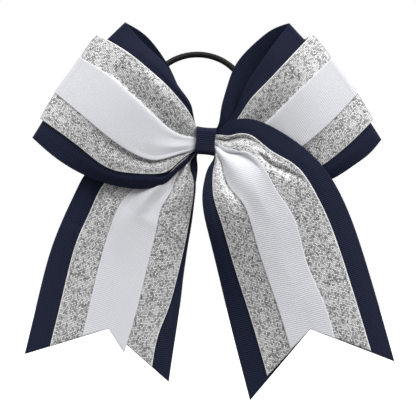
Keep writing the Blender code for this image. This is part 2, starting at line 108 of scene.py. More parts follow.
LEFT_TAIL = (
    ((-3.4, -4.8), (-4.4, -7.6), (-4.2, -12), (-4.3, -16.5), (-5.2, -22), (-6.6, -30), (-8.4, -41),
     (-10.6, -53), (-11.3, -64), (-12.4, -77.5), (-16.4, -106.6), (-19.1, -125)),
    ((-3.4, -3.8), (-6.4, -8), (-8, -12), (-7.2, -16.4), (-6.1, -22.3), (-6.4, -27), (-8.3, -40),
     (-10.3, -51.7), (-14.5, -70), (-19.6, -88), (-24.4, -100.5), (-27.8, -117.3)),
    ((-3.4, -2.6), (-8.6, -9.6), (-12.4, -14.8), (-15.4, -20.4), (-17.6, -26.4), (-22.4, -34), (-25.4, -45),
     (-29, -60.3), (-35.7, -87.7), (-42.2, -110)),
    ((-3.4, -0.6), (-14, -8.2), (-27, -16), (-37.4, -24.6), (-44.3, -32.7), (-48.9, -43.4), (-54.4, -61.5),
     (-60.4, -86.2), (-63.9, -101.4)),
    ((-3.4, 1.4), (-20, -3.6), (-40, -12), (-52.6, -22), (-60.4, -37.5), (-64.9, -47.2), (-71.7, -69.7),
     (-77.6, -94.4), (-80.7, -106.7)),
    ((-3.4, 3.2), (-25, 0.6), (-48, -7.4), (-61.6, -16), (-67.1, -25.5), (-71.7, -35.2), (-80.7, -57.7),
     (-86.6, -80.2), (-93.8, -110.6)),
)
RIGHT_TAIL = (
    ((3.4, -4.8), (4.6, -7.4), (2.1, -12.8), (-0.3, -19.3), (-1.5, -26.5), (-0.8, -38), (1, -46),
     (4.9, -61.6), (11.5, -89.2), (23.1, -134.5)),
    ((3.4, -3.9), (5.2, -6.6), (4.6, -13.7), (3.8, -22.3), (4.2, -28.4), (7.3, -39.4), (13.9, -61.6),
     (22, -86.9), (32.1, -121.8)),
    ((3.4, -3.2), (5.8, -5.8), (7.9, -9.8), (9.6, -15.8), (13.3, -24.4), (19.4, -32.7), (23.4, -42.8),
     (29, -61.6), (36.2, -82.4), (44, -108)),
    ((3.4, 0.2), (5.6, -0.3), (9.2, -2.9), (13.5, -4.4), (18.7, -5.1), (24.3, -7.3), (30.2, -13.6),
     (35.9, -24.5), (44.6, -37.8), (51.9, -61.6), (62.5, -86.9), (67, -102.4)),
    ((3.4, 2.8), (5.6, 3.3), (11.4, 2.7), (17, 3.7), (23.2, 3), (29.5, -1.6), (36.5, -6.8), (42.1, -9.9),
     (47.6, -13.9), (56.7, -27), (61.2, -35.9), (72.2, -65.2), (85.7, -109)),
    ((3.4, 3.9), (5.8, 5.1), (11, 8.8), (17, 11.3), (23.2, 11.3), (30.9, 8.9), (39.3, 4.4), (49, -2.2),
     (60.8, -13.4), (69.9, -27.7), (82, -59.2), (97.9, -114.3)),
)
LEFT_NOTCH = (-50.3, -97.4)
RIGHT_NOTCH = (54.3, -97.4)

# ---------------------------------------------------------------- depth
# (share of the way out from the wrap, Y) of the ribbon's middle.
LEFT_FRONT_DEPTH = ((0, -4.4), (0.15, -8.5), (0.42, -14.2), (0.72, -12.4), (0.93, -4.9))
RIGHT_FRONT_DEPTH = ((0, 0.2), (0.15, -1.6), (0.42, -7.4), (0.72, -9.6), (0.93, -4.9))
BACK_DEPTH = ((0, 2.9), (0.08, 2.5), (0.16, 2.2), (0.28, 3.6), (0.45, 6.0), (0.72, 4.6), (0.93, -1.1))
LEFT_TAIL_DEPTH = ((0, 0.2), (0.1, -1.6), (0.25, -4.0), (0.5, -4.6), (0.8, -4.8), (1, -5.0))
RIGHT_TAIL_DEPTH = (
    (0, -4.4), (0.06, -7.2), (0.13, -11), (0.26, -15.4), (0.38, -15.2), (0.6, -12.6), (1, -9.0),
)
# How far a tail's edges fall back behind its middle line, at (share of the way).
LEFT_TAIL_CROWN = ((0, 0), (0.2, 0), (0.45, 2.0), (0.7, 2.5), (1, 1.0))
RIGHT_TAIL_CROWN = ((0, 0), (0.15, 1.0), (0.3, 3.0), (0.5, 7.0), (0.75, 6.5), (1, 3.0))
# How far the left tail's inner navy margin folds back behind the silver ribbon, at (share of the way).
LEFT_TAIL_TUCK = ((0, 0), (0.12, 3), (0.25, 9), (0.4, 6), (0.6, 2), (1, 0))
TUCK_OVERLAP = 2.0  # the fold starts this far inside the silver ribbon's edge
CROWN_POWER = 1.8
FOLD_Y = -3.0
FOLD_RADIUS = 1.9
FOLD_START = 0.93  # share of a loop's way at which the round fold starts
EDGE_CURL = 5.0  # how far a loop's front edges turn back
BACK_EDGE_CURL = 2.0
CURL_POWER = 2.5
NOTCH_DEPTH = 27.7  # of a tail's end, measured along the ribbon
NOTCH_PULL = 6  # a tail's rows bend towards its cut end as this power of the share of the way

GATHER_PERIOD = 15.0
GATHER_SHARPNESS = 2.5
GATHER_START = 12.0  # distance from the wrap at which the gathers are at their full height
LOOP_GATHER = 0.15  # of the missing width, what the gathers take up
LEFT_TAIL_GATHER = 0.4
RIGHT_TAIL_GATHER = 0.12
WHITE_PLEAT_SHARE = 0.3  # the white ribbon bridges the pleats of the loops, so its edges stand off the silver

PLEAT_START = 6.0  # distance from the wrap at which the pleats are at their full height
PLEAT_RISE = 8.0  # length over which a pleat that starts further out rises

# Pleats: line of the crease as (distance from the wrap, distance from the ribbon's middle) stations, half
# width on the line's lower side, half width on its upper side, height, and the distances between which it
# fades out. A height above 0 is a crest towards the ribbon's face, and one below 0 is a valley.
LEFT_LOOP_PLEATS = (
    (((0, -12), (14, -12.5), (60, -13)), 6.0, 1.6, -2.0, (26, 66)),
    (((0, -27), (12, -27.5), (24, -28)), 2.5, 1.0, -3.0, (10, 26)),
    (((0, 11), (60, 12)), 1.2, 5.0, -1.9, (44, 74)),
    (((0, 26), (40, 26)), 3.0, 5.0, -1.0, (30, 60)),
)
RIGHT_LOOP_PLEATS = (
    (((0, 30), (60, 31)), 4.0, 4.0, -1.5, (30, 70)),
    (((0, 11), (60, 12)), 1.2, 5.0, -1.4, (30, 70)),
    (((0, -13), (60, -13)), 5.0, 1.6, -1.2, (30, 70)),
)
BACK_PLEATS = (
    (((0, 10), (60, 8)), 7.0, 7.0, 1.6, (20, 60)),
    (((0, -12), (60, -12)), 6.0, 6.0, 1.6, (20, 50)),
)
LEFT_TAIL_PLEATS = (
    (((0, -16), (60, -17)), 5.0, 5.0, 1.8, (24, 60)),
    (((0, -1), (90, 4)), 8.0, 8.0, 1.2, (40, 90)),
)
RIGHT_TAIL_PLEATS = (
    (((0, 13), (5, 20), (10, 22.5), (30, 23)), 4.5, 0.7, -2.4, (10, 26)),
    (((0, 3), (4, 5), (10, 8.5), (15, 9.6), (26, 8)), 5.0, 0.6, -3.8, (12, 34)),
    (((22, 15), (33, 17), (50, 24)), 3.0, 1.2, -2.4, (30, 54)),
    (((0, -12), (30, -12.6)), 1.2, 4.0, -2.4, (20, 38)),
    (((0, -3), (50, -3)), 5.0, 5.0, 1.4, (20, 50)),
    (((0, -20), (60, -19)), 4.0, 4.0, 1.2, (24, 60)),
)

LEFT_TAIL_SHAPE = {
    "rails": LEFT_TAIL, "notch": LEFT_NOTCH, "depths": LEFT_TAIL_DEPTH, "crowns": LEFT_TAIL_CROWN,
    "pleats": LEFT_TAIL_PLEATS, "gathers": LEFT_TAIL_GATHER, "tuck": LEFT_TAIL_TUCK,
}
RIGHT_TAIL_SHAPE = {
    "rails": RIGHT_TAIL, "notch": RIGHT_NOTCH, "depths": RIGHT_TAIL_DEPTH, "crowns": RIGHT_TAIL_CROWN,
    "pleats": RIGHT_TAIL_PLEATS, "gathers": RIGHT_TAIL_GATHER, "tuck": None,
}

# ---------------------------------------------------------------- maths of the surfaces


def natural_spline(knots, values, wanted):
    """Cubic curve through the values at the knots, with no bending at its two ends."""
    knots = np.asarray(knots, float)
    values = np.asarray(values, float)
    flat = values.reshape(len(knots), -1)
    step = np.diff(knots)
    slope = np.diff(flat, axis=0) / step[:, None]
    matrix = np.eye(len(knots))
    inner = np.arange(1, len(knots) - 1)
    matrix[inner, inner - 1] = step[:-1]
    matrix[inner, inner] = 2 * (step[:-1] + step[1:])
    matrix[inner, inner + 1] = step[1:]
    right = np.zeros_like(flat)
    right[inner] = 6 * np.diff(slope, axis=0)
    bend = np.linalg.solve(matrix, right)
    wanted = np.asarray(wanted, float)
    place = np.clip(np.searchsorted(knots, wanted, side="right") - 1, 0, len(knots) - 2)
    width = step[place][:, None]
    b = (wanted - knots[place])[:, None] / width
    a = 1 - b
    curve = a * flat[place] + b * flat[place + 1]
    curve += ((a**3 - a) * bend[place] + (b**3 - b) * bend[place + 1]) * width**2 / 6
    return curve.reshape((len(wanted),) + values.shape[1:])


def travelled(points):
    """Length walked along the first axis of a grid or a line of points."""
    steps = np.linalg.norm(np.diff(points, axis=0), axis=-1)
    return np.concatenate([np.zeros((1,) + steps.shape[1:]), np.cumsum(steps, axis=0)])


def smooth_rail(points, count=400):
    """Evenly spaced points on the smooth curve through a rail's own points."""
    points = np.array(points, float)
    walked = travelled(points)
    curve = natural_spline(walked, points, np.linspace(0, walked[-1], count))
    walked = travelled(curve)
    even = np.linspace(0, walked[-1], count)
    return np.column_stack([np.interp(even, walked, curve[:, axis]) for axis in range(2)])


def along(rail, share):
    """The rail's points at the given shares of its length."""
    place = np.linspace(0, 1, len(rail))
    return np.column_stack([np.interp(share, place, rail[:, axis]) for axis in range(2)])


def bowed_rail(start, end, bow, count=400):
    """A chord from start to end with a sine arch of height bow, on the chord's upper side."""
    start = np.array(start, float)
    chord = np.array(end, float) - start
    upward = np.array([-chord[1], chord[0]]) / np.linalg.norm(chord)
    upward *= math.copysign(1, upward[1])
    share = np.linspace(0, 1, count)[:, None]
    return start + chord * share + upward * bow * np.sin(math.pi * share**BACK_BOW_SKEW)


def smoothstep(value, low, high):
    """0 below low, 1 above high, and a cubic between them."""
    part = np.clip((value - low) / (high - low), 0, 1)
    return part * part * (3 - 2 * part)


def curl(columns):
    """Share of the edge curl at each column: none in the middle, all of it at both edges."""
    return np.abs(columns / (NAVY_WIDTH / 2)) ** CURL_POWER


def pleat_height(pleats, distance, columns):
    """Height of the pleats over the sheet. Each is an uneven bell across its line, and fades out along it."""
    height = np.zeros((len(distance), len(columns)))
    for stations, lower, upper, amount, fade in pleats:
        start = stations[0][0]
        line = np.interp(distance, *zip(*stations))[:, None]
        off = columns[None] - line
        bell = np.exp(-((off / np.where(off < 0, lower, upper)) ** 2))
        window = 1 - smoothstep(distance, *fade)
        if start > 0:
            window = window * smoothstep(distance, start, start + PLEAT_RISE)
        height += amount * window[:, None] * bell
    return height * smoothstep(distance, 0, PLEAT_START)[:, None]


def gather(plane, columns, distance):
    """Depth of the soft gathers that take up width where the rails lie closer than the ribbon is wide.

    Across each row the sheet climbs and falls in turn, and the closer the columns lie, the steeper it does.
    """
    spacing = np.linalg.norm(np.gradient(plane, columns, axis=1), axis=2)
    missing = np.sqrt(np.clip(1 - spacing**2, 0, 1))
    side = np.tanh(GATHER_SHARPNESS * np.sin(2 * math.pi * columns / GATHER_PERIOD))
    climb = missing * side * (columns[1] - columns[0])
    depth = np.cumsum(climb, axis=1)
    depth -= depth.mean(axis=1, keepdims=True)
    return depth * smoothstep(distance, 0, GATHER_START)[:, None]


def across(rails, columns):
    """Spread rails[row, line] over the ribbon's columns with a smooth curve across each row."""
    return natural_spline(EDGE_LINES, np.swapaxes(rails, 0, 1), columns).swapaxes(0, 1)


def loop_rails(front, back_top, reach):
    """The rails of a loop's front layer, and those of its back layer, each as evenly spaced points."""
    fronts = [list(points) for points in front]
    if reach:
        for points, end in zip(fronts[1:5], reach):
            points[-1] = end
    fronts = [smooth_rail(points) for points in fronts]
    backs = [bowed_rail(rail[0], rail[-1], bow) for rail, bow in zip(fronts, BACK_BOW)]
    backs.append(smooth_rail(back_top))
    return fronts, backs


def loop_plane(fronts, backs, stop, share, turn, columns):
    """X and Z of a loop's grid: the front layer, the round fold, and the back layer towards the wrap."""
    flat_front = np.stack([along(r, share * s) for r, s in zip(fronts, stop)], axis=1)
    flat_back = np.stack([along(r, share * s) for r, s in zip(backs, stop)], axis=1)[::-1]
    rounding = [s + (1 - s) * np.sin(turn) for s in stop]
    first_half = np.stack([along(r, place) for r, place in zip(fronts, rounding)], axis=1)
    second_half = np.stack([along(r, place) for r, place in zip(backs, rounding)], axis=1)
    to_back = smoothstep(turn, 0, math.pi)[:, None, None]
    flat_fold = first_half * (1 - to_back) + second_half * to_back
    return across(np.concatenate([flat_front, flat_fold, flat_back]), columns)


def loop_surface(columns, front, back_top, reach, depths, pleats):
    """One loop as points[row, column], and the length along the ribbon from the middle of its fold.

    The layers follow their rails in X and Z. At the fold, the rails run on along a half circle in depth.
    """
    fronts, backs = loop_rails(front, back_top, reach)
    spans = np.array([np.linalg.norm(rail[-1] - rail[0]) for rail in fronts])
    rows = int(spans.mean() / CELL)
    share = np.linspace(0, 1, rows)
    turn = np.linspace(0, math.pi, int(math.pi * FOLD_RADIUS / CELL) + 2)[1:-1]
    plane = loop_plane(fronts, backs, 1 - FOLD_RADIUS / spans, share, turn, columns)

    wave = np.sin(math.pi * share)[:, None]
    distance = share * spans.mean()
    front_y = natural_spline(*zip(*depths), share * FOLD_START)[:, None] + EDGE_CURL * wave * curl(columns)
    front_y = front_y - pleat_height(pleats, distance, columns)
    front_y = front_y + LOOP_GATHER * gather(plane[:rows], columns, distance)
    back_y = natural_spline(*zip(*BACK_DEPTH), share * FOLD_START)[:, None]
    back_y = back_y - BACK_EDGE_CURL * wave * curl(columns)
    back_y = back_y + pleat_height(BACK_PLEATS, distance, columns)
    fold_y = (FOLD_Y - FOLD_RADIUS * np.cos(turn))[:, None] + 0 * columns
    depth = np.concatenate([front_y, fold_y, back_y[::-1]])
    points = np.dstack([plane[..., 0], depth, plane[..., 1]])
    length = travelled(points)
    return points, length - length[rows + len(turn) // 2]


def straight_cut(row, notch, columns):
    """The row's points moved onto two straight cuts, from each corner to the notch."""
    notch = np.array(notch)
    cut = row.copy()
    for half, corner in ((columns < 0, row[0]), (columns > 0, row[-1])):
        line = notch - corner
        reached = (row[half] - corner) @ line / (line @ line)
        cut[half] = corner + reached[:, None] * line
    return cut


def tail_surface(columns, rails, notch, depths, crowns, pleats, gathers, tuck):
    """One tail as points[row, column], and the length along the ribbon, from inside the wrap to its end.

    The rails carry it in X and Z, its middle line is drawn up to the notch, and its end is cut straight.
    """
    curves = [smooth_rail(points) for points in rails]
    reach = travelled(curves[3])[-1]
    share = np.linspace(0, 1, int(reach / CELL))
    plane = across(np.stack([along(curve, share) for curve in curves], axis=1), columns)
    bend = (share**NOTCH_PULL)[:, None, None]
    pull = np.clip(1 - np.abs(columns) / (WHITE_WIDTH / 2), 0, 1)
    middle = int(np.argmin(np.abs(columns)))
    plane += bend * pull[None, :, None] * (np.array(notch) - plane[-1, middle])
    plane += bend * (straight_cut(plane[-1], notch, columns) - plane[-1])

    depth = natural_spline(*zip(*depths), share)[:, None] + 0 * columns
    crown = natural_spline(*zip(*crowns), share)[:, None]
    crown = crown * np.abs(columns / (NAVY_WIDTH / 2)) ** CROWN_POWER
    depth = depth + crown - pleat_height(pleats, share * reach, columns)
    depth = depth + gathers * gather(plane, columns, share * reach)
    if tuck:
        margin = smoothstep(-columns, SILVER_WIDTH / 2 - TUCK_OVERLAP, NAVY_WIDTH / 2)
        depth = depth + natural_spline(*zip(*tuck), share)[:, None] * margin
    points = np.dstack([plane[..., 0], depth, plane[..., 1]])
    length = travelled(points)
    slant = np.abs(columns) / (NAVY_WIDTH / 2) * NOTCH_DEPTH
    return points, length - length[-1] + slant


def face_normals(points, side):
    """Unit normal at each grid point, on the face that carries the silver and white ribbons."""
    normal = np.cross(np.gradient(points, axis=0), np.gradient(points, axis=1)) * side
    return normal / np.linalg.norm(normal, axis=2, keepdims=True)


# ---------------------------------------------------------------- meshes


def grid_mesh(name, points, uv=None, closed=False):
    """A mesh over points[row, column] in metres, with uv[row, column] in metres.

    A closed mesh joins its last column to its first.
    """
    rows, columns = points.shape[:2]
    index = np.arange(rows * columns).reshape(rows, columns)
    if closed:
        index = np.column_stack([index, index[:, 0]])
    corners = np.stack([index[:-1, :-1], index[:-1, 1:], index[1:, 1:], index[1:, :-1]], axis=-1)
    corners = corners.reshape(-1, 4)
    mesh = bpy.data.meshes.new(name)
    mesh.from_pydata(points.reshape(-1, 3).tolist(), [], corners.tolist())
    if uv is not None:
        layer = mesh.uv_layers.new(name="UVMap")
        layer.data.foreach_set("uv", uv.reshape(-1, 2)[corners.ravel()].ravel())
    mesh.shade_smooth()
    mesh.update()
    return mesh


def add_piece(name, mesh, material):
    """A named object made of the mesh and the material, in the scene."""
    piece = bpy.data.objects.new(name, mesh)
    mesh.materials.append(material)
    bpy.context.scene.collection.objects.link(piece)
    return piece


def thicken(piece, thickness):
    """Give an open sheet its thickness, half on each side."""
    wall = piece.modifiers.new("thickness", "SOLIDIFY")
    wall.thickness = thickness
    wall.offset = 0
    return piece


def ribbon_columns(width):
    """Evenly spaced columns across a ribbon, in millimetres from its middle line."""
    half = width / 2
    count = int(round(width / COLUMN))
    return np.linspace(-half, half, count + count % 2 + 1)


def ribbon_piece(name, surface, width, layer, side, material):
    """One ribbon of a stack, lifted to its layer, with places across and along it in its UV map."""
    columns = ribbon_columns(width)
    points, length = surface(columns)
    lifted = points + face_normals(points, side) * layer * LAYER_STEP
    uv = np.dstack([np.broadcast_to(columns, length.shape), length]) * MM
    if side < 0:
        lifted = lifted[:, ::-1]
        uv = uv[:, ::-1]
    piece = add_piece(name, grid_mesh(name, lifted * MM, uv), material)
    return thicken(piece, CLOTH * MM), length


LAYERS = (("navy", NAVY_WIDTH), ("silver", SILVER_WIDTH), ("white", WHITE_WIDTH))


def make_loop(side_name, side, front, back_top, reach, depths, pleats):
    """The three ribbons of one loop. The silver and white ones have their own reach at the fold."""
    for layer, (colour, width) in enumerate(LAYERS):
        ends = reach if layer else None
        bridging = WHITE_PLEAT_SHARE if colour == "white" else 1
        shaped = [(*pleat[:3], pleat[3] * bridging, pleat[4]) for pleat in pleats]

        def surface(columns):
            return loop_surface(columns, front, back_top, ends, depths, shaped)

        name = f"{side_name}_loop_{colour}_ribbon"
        piece, length = ribbon_piece(name, surface, width, layer, side, ribbon_materials[colour])
        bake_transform(piece)
        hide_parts(f"{side_name}_loop_{colour}")


def make_tail(side_name, side, shape):
    """The three ribbons of one tail. shape names what tail_surface needs besides the columns."""
    for layer, (colour, width) in enumerate(LAYERS):

        def surface(columns):
            return tail_surface(columns, **shape)

        name = f"{side_name}_tail_{colour}_ribbon"
        piece, length = ribbon_piece(name, surface, width, layer, side, ribbon_materials[colour])
        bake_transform(piece)
        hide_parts(f"{side_name}_shoulder_{colour}", f"{side_name}_tail_{colour}")


# ---------------------------------------------------------------- materials
# Pitches and selvedges are in metres.
RIB_PITCH = 0.00105
THREAD_PITCH = 0.00042
SELVEDGE_STEP = 0.0003
WARP_PITCH = 0.0007
WEFT_PITCH = 0.00086
SILVER_SELVEDGE = 0.0007
SILVER_METAL = 0.35
# The silver's grey runs between SILVER_DARK and SILVER_PALE by its painted glints and the painted shade round
# each dome.
SILVER_DARK = (0.04, 0.04, 0.042, 1)
SILVER_PALE = (1.0, 1.0, 1.0, 1)
SILVER_EDGE = (0.95, 0.95, 0.96, 1)
# The two groove colours are painted shade for the grooves between the ribs.
NAVY_COLOUR = (0.0098, 0.0140, 0.041, 1)
NAVY_GROOVE_SHADE = (0.0026, 0.0036, 0.0105, 1)
WHITE_COLOUR = (0.74, 0.745, 0.785, 1)
WHITE_GROOVE_SHADE = (0.46, 0.475, 0.53, 1)


def feed(tree, socket, value):
    """Link a socket's output into another, or set it to a plain value."""
    if isinstance(value, bpy.types.NodeSocket):
        tree.links.new(value, socket)
    elif value is not None:
        socket.default_value = value


def maths(tree, operation, first, second=None, third=None, clamp=False):
    """The result of one maths node, whose inputs are sockets or numbers."""
    node = tree.nodes.new("ShaderNodeMath")
    node.operation = operation
    node.use_clamp = clamp
    for socket, value in zip(node.inputs, (first, second, third)):
        feed(tree, socket, value)
    return node.outputs[0]


def ramp(tree, value, low, high, low_out=0.0, high_out=1.0):
    """value mapped smoothly from low..high to low_out..high_out, and held at both ends."""
    node = tree.nodes.new("ShaderNodeMapRange")
    node.interpolation_type = "SMOOTHSTEP"
    for label, number in (("From Min", low), ("From Max", high), ("To Min", low_out), ("To Max", high_out)):
        feed(tree, node.inputs[label], number)
    feed(tree, node.inputs["Value"], value)
    return node.outputs["Result"]


def mix_colour(tree, factor, first, second):
    """first where the factor is 0, second where it is 1, and a mix between."""
    node = tree.nodes.new("ShaderNodeMix")
    node.data_type = "RGBA"
    feed(tree, node.inputs[0], factor)
    feed(tree, node.inputs[6], first)
    feed(tree, node.inputs[7], second)
    return node.outputs[2]


def noise(tree, vector, scale, detail=2.0, roughness=0.5):
    """Soft random values round 0.5, with scale bumps to the metre."""
    node = tree.nodes.new("ShaderNodeTexNoise")
    node.inputs["Scale"].default_value = scale
    node.inputs["Detail"].default_value = detail
    node.inputs["Roughness"].default_value = roughness
    feed(tree, node.inputs["Vector"], vector)
    return node.outputs["Fac"]


def new_group(name, inputs, outputs):
    """An empty shader node group: inputs are (label, default), outputs are labels of plain values."""
    group = bpy.data.node_groups.new(name, "ShaderNodeTree")
    for label, default in inputs:
        socket = group.interface.new_socket(label, in_out="INPUT", socket_type="NodeSocketFloat")
        socket.default_value = default
    for label in outputs:
        group.interface.new_socket(label, in_out="OUTPUT", socket_type="NodeSocketFloat")
    return group, group.nodes.new("NodeGroupInput").outputs, group.nodes.new("NodeGroupOutput").inputs


def rib_group():
    """Grosgrain: round ribs across the ribbon with narrow grooves, fine threads and a plain selvedge."""
    inputs = (("Across", 0), ("Along", 0), ("Half Width", 0.02), ("Selvedge", 0.001))
    group, given, result = new_group("grosgrain_ribs", inputs, ("Height", "Groove"))
    turn = maths(group, "MULTIPLY", maths(group, "DIVIDE", given["Along"], RIB_PITCH), math.pi)
    rib = maths(group, "POWER", maths(group, "ABSOLUTE", maths(group, "SINE", turn)), 0.7)
    warp_turn = maths(group, "MULTIPLY", given["Across"], math.pi / THREAD_PITCH)
    warp = maths(group, "ABSOLUTE", maths(group, "SINE", warp_turn))
    woven = maths(group, "MULTIPLY_ADD", warp, 0.16, maths(group, "MULTIPLY", rib, 0.84))
    reach = maths(group, "ABSOLUTE", given["Across"])
    start = maths(group, "SUBTRACT", given["Half Width"], given["Selvedge"])
    edge = ramp(group, reach, start, maths(group, "ADD", start, SELVEDGE_STEP))
    plain = maths(group, "SUBTRACT", 1.0, edge)
    height = maths(group, "MULTIPLY_ADD", woven, plain, maths(group, "MULTIPLY", edge, 0.75))
    groove = maths(group, "MULTIPLY", maths(group, "SUBTRACT", 1.0, rib), plain)
    group.links.new(height, result["Height"])
    group.links.new(groove, result["Groove"])
    return group


def weave_dome(group, place):
    """A rounded bump over each whole step of place: 1 in its middle and 0 at its ends."""
    off = maths(group, "SUBTRACT", maths(group, "FRACT", place), 0.5)
    return maths(group, "SUBTRACT", 1.0, maths(group, "MULTIPLY", maths(group, "MULTIPLY", off, off), 4.0))


def weave_group():
    """Metallic plain weave: a brick pattern of small domes, each with its own random value for a painted
    glint.
    """
    inputs = (("Across", 0), ("Along", 0), ("Half Width", 0.025))
    group, given, result = new_group("metallic_weave", inputs, ("Height", "Glint", "Dome", "Edge"))
    row_place = maths(group, "DIVIDE", given["Along"], WEFT_PITCH)
    row = maths(group, "FLOOR", row_place)
    shift = maths(group, "MULTIPLY", maths(group, "FLOORED_MODULO", row, 2.0), 0.5)
    cell_place = maths(group, "ADD", maths(group, "DIVIDE", given["Across"], WARP_PITCH), shift)
    cell = maths(group, "FLOOR", cell_place)
    place = group.nodes.new("ShaderNodeCombineXYZ")
    group.links.new(cell, place.inputs[0])
    group.links.new(row, place.inputs[1])
    random = group.nodes.new("ShaderNodeTexWhiteNoise")
    random.noise_dimensions = "2D"
    group.links.new(place.outputs[0], random.inputs["Vector"])
    dome = maths(group, "MULTIPLY", weave_dome(group, row_place), weave_dome(group, cell_place))
    reach = maths(group, "ABSOLUTE", given["Across"])
    edge_start = maths(group, "SUBTRACT", given["Half Width"], SILVER_SELVEDGE)
    edge = ramp(group, reach, edge_start, given["Half Width"])
    random_value = random.outputs["Value"]
    height = maths(group, "MULTIPLY", maths(group, "MULTIPLY_ADD", random_value, 0.5, 0.5), dome)
    for label, value in (("Height", height), ("Glint", random_value), ("Dome", dome), ("Edge", edge)):
        group.links.new(value, result[label])
    return group


def new_material(name, roughness, metallic=0.0, specular=0.5):
    """A material, its node tree and its shader."""
    material = bpy.data.materials.new(name)
    material.use_nodes = True
    tree = material.node_tree
    shader = tree.nodes["Principled BSDF"]
    shader.inputs["Roughness"].default_value = roughness
    shader.inputs["Metallic"].default_value = metallic
    shader.inputs["Specular IOR Level"].default_value = specular
    return material, tree, shader


def surface_places(tree):
    """Lengths in metres across the ribbon and along it, and both as a vector, from the piece's UV map."""
    map_node = tree.nodes.new("ShaderNodeUVMap")
    map_node.uv_map = "UVMap"
    split = tree.nodes.new("ShaderNodeSeparateXYZ")
    tree.links.new(map_node.outputs["UV"], split.inputs[0])
    return split.outputs[0], split.outputs[1], map_node.outputs["UV"]


def add_bump(tree, shader, height, strength, distance):
    """Relief: distance is how far, in metres, a height of 1 stands out."""
    bump = tree.nodes.new("ShaderNodeBump")
    bump.inputs["Strength"].default_value = strength
    bump.inputs["Distance"].default_value = distance
    tree.links.new(height, bump.inputs["Height"])
    tree.links.new(bump.outputs["Normal"], shader.inputs["Normal"])


def use_group(tree, group, values):
    """The outputs of a node group that is given the values."""
    node = tree.nodes.new("ShaderNodeGroup")
    node.node_tree = group
    for label, value in values.items():
        feed(tree, node.inputs[label], value)
    return node.outputs


def grosgrain(name, colour, groove_shade_colour, width, groove_shade_depth, relief, selvedge):
    """Ribbed ribbon: painted shade darkens its colour in the grooves, and the colour drifts a little from
    place to place.
    """
    material, tree, shader = new_material(name, 0.7, specular=0.2)
    across_place, along_place, uv = surface_places(tree)
    ribs = use_group(tree, ribs_group, {
        "Across": across_place, "Along": along_place, "Half Width": width / 2 * MM, "Selvedge": selvedge,
    })
    drift = ramp(tree, noise(tree, uv, 45.0, 3.0), 0.3, 0.7, 0.0, 0.35)
    fibre = ramp(tree, noise(tree, uv, 2600.0, 2.0), 0.25, 0.75, 0.0, 0.3)
    # Painted shade: the colour darkens towards the groove colour in the grooves between the ribs, on top of a
    # random drift in tone.
    groove = maths(tree, "MULTIPLY", ribs["Groove"], groove_shade_depth)
    groove_shade_and_tone = maths(tree, "ADD", groove, maths(tree, "MULTIPLY", fibre, drift), clamp=True)
    tree.links.new(mix_colour(tree, groove_shade_and_tone, colour, groove_shade_colour), shader.inputs["Base Color"])
    rough = maths(tree, "MULTIPLY_ADD", ribs["Groove"], 0.15, 0.7)
    tree.links.new(rough, shader.inputs["Roughness"])
    height = maths(tree, "MULTIPLY_ADD", fibre, 0.2, ribs["Height"])
    add_bump(tree, shader, height, relief, 0.00022)
    return material


def metallic_ribbon(name):
    """Silver weave: painted glints give each dome its own grey, painted shade darkens its rim, and the
    selvedge is a pale line.
    """
    material, tree, shader = new_material(name, 0.52)
    across_place, along_place, uv = surface_places(tree)
    weave = use_group(tree, cells_group, {
        "Across": across_place, "Along": along_place, "Half Width": SILVER_WIDTH / 2 * MM,
    })
    fine = noise(tree, uv, 2400.0, 2.0, 0.8)
    mottle = noise(tree, uv, 200.0, 3.0, 0.6)
    # Painted glints: a random grey for each dome and a fine speckle over a soft mottle stand in for the
    # sparkle of the metal threads.
    painted_sparkle = maths(tree, "MULTIPLY_ADD", weave["Glint"], 0.5, maths(tree, "MULTIPLY", fine, 1.6))
    painted_sparkle = maths(tree, "ADD", painted_sparkle, maths(tree, "MULTIPLY_ADD", mottle, 0.3, -0.15))
    level = ramp(tree, painted_sparkle, 0.62, 1.25)
    # Painted shade: each dome darkens towards its rim, in the gaps between the threads.
    level = maths(tree, "MULTIPLY", level, ramp(tree, weave["Dome"], 0.0, 0.5, 0.1, 1.0))
    colour = mix_colour(tree, level, SILVER_DARK, SILVER_PALE)
    colour = mix_colour(tree, weave["Edge"], colour, SILVER_EDGE)
    tree.links.new(colour, shader.inputs["Base Color"])
    metal = maths(tree, "MULTIPLY_ADD", weave["Edge"], -SILVER_METAL, SILVER_METAL)
    tree.links.new(metal, shader.inputs["Metallic"])
    add_bump(tree, shader, weave["Height"], 0.6, 0.00012)
    return material


ribs_group = rib_group()
cells_group = weave_group()
ribbon_materials = {
    "navy": grosgrain("navy_grosgrain_ribbon", NAVY_COLOUR, NAVY_GROOVE_SHADE, NAVY_WIDTH, 0.85, 1.0, 0.0008),
    "silver": metallic_ribbon("silver_woven_ribbon"),
    "white": grosgrain("white_grosgrain_ribbon", WHITE_COLOUR, WHITE_GROOVE_SHADE, WHITE_WIDTH, 0.3, 0.5, 0.0009),
}
wrap_material = grosgrain("navy_wrap_ribbon", NAVY_COLOUR, NAVY_GROOVE_SHADE, WRAP_WIDTH, 0.85, 1.0, 0.0005)


def elastic_material():
    """Black braided elastic: dull thread with slightly paler crests."""
    material, tree, shader = new_material("black_braided_elastic", 0.62, specular=0.25)
    coordinate = tree.nodes.new("ShaderNodeTexCoord").outputs["Object"]
    fleck = noise(tree, coordinate, 1800.0, 2.0)
    crest = ramp(tree, fleck, 0.35, 0.7)
    colour = mix_colour(tree, crest, (0.003, 0.003, 0.0032, 1), (0.009, 0.009, 0.0095, 1))
    tree.links.new(colour, shader.inputs["Base Color"])
    add_bump(tree, shader, fleck, 0.4, 0.0001)
    return material


